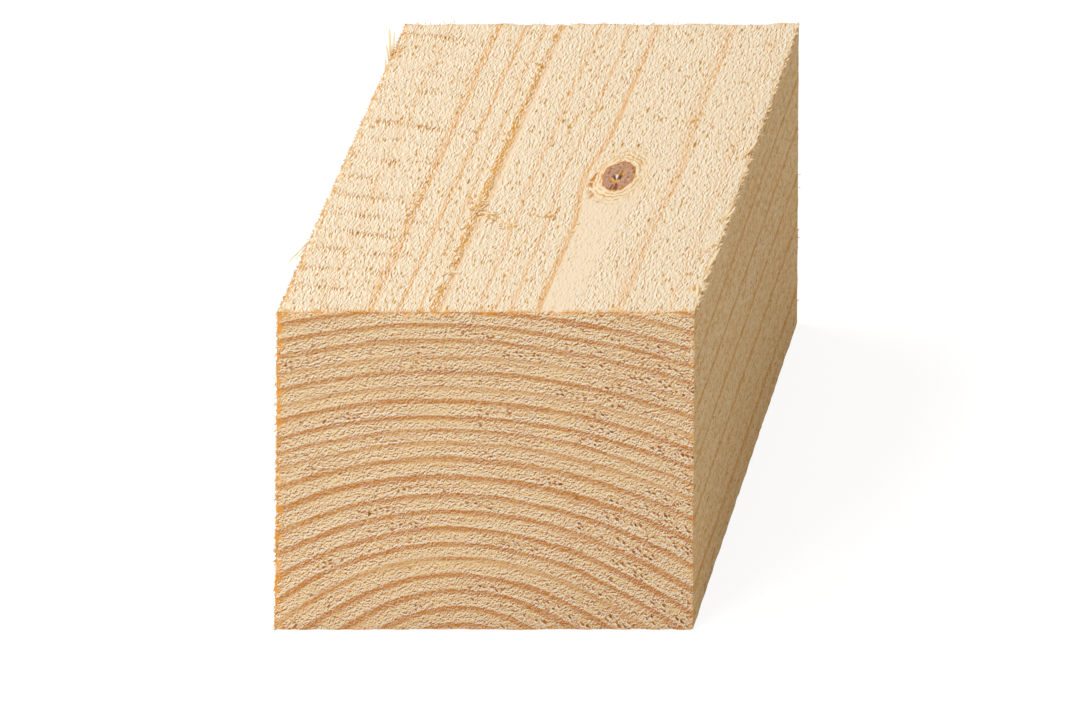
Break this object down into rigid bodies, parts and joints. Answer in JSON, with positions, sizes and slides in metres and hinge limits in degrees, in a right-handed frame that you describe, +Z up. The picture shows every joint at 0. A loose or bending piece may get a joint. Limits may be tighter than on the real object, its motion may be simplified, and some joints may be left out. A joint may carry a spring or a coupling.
{
  "type": "timber stud",
  "caption": "Rough-sawn softwood stud of plain rectangular section, a short square-cut length for framing, lying on its wide face.",
  "frame": {"origin": "middle of the underside, on the floor that the stud lies on", "axes": "+Y along the length and the grain, away from the front sawn end; +X across the width; +Z up through the thickness"},
  "size_m": [0.08, 0.1, 0.06],
  "materials": {
    "sawn_timber": "rough sawn, untreated"
  },
  "bodies": {
    "root": {"stud": "sawn_timber"}
  },
  "joints": []
}
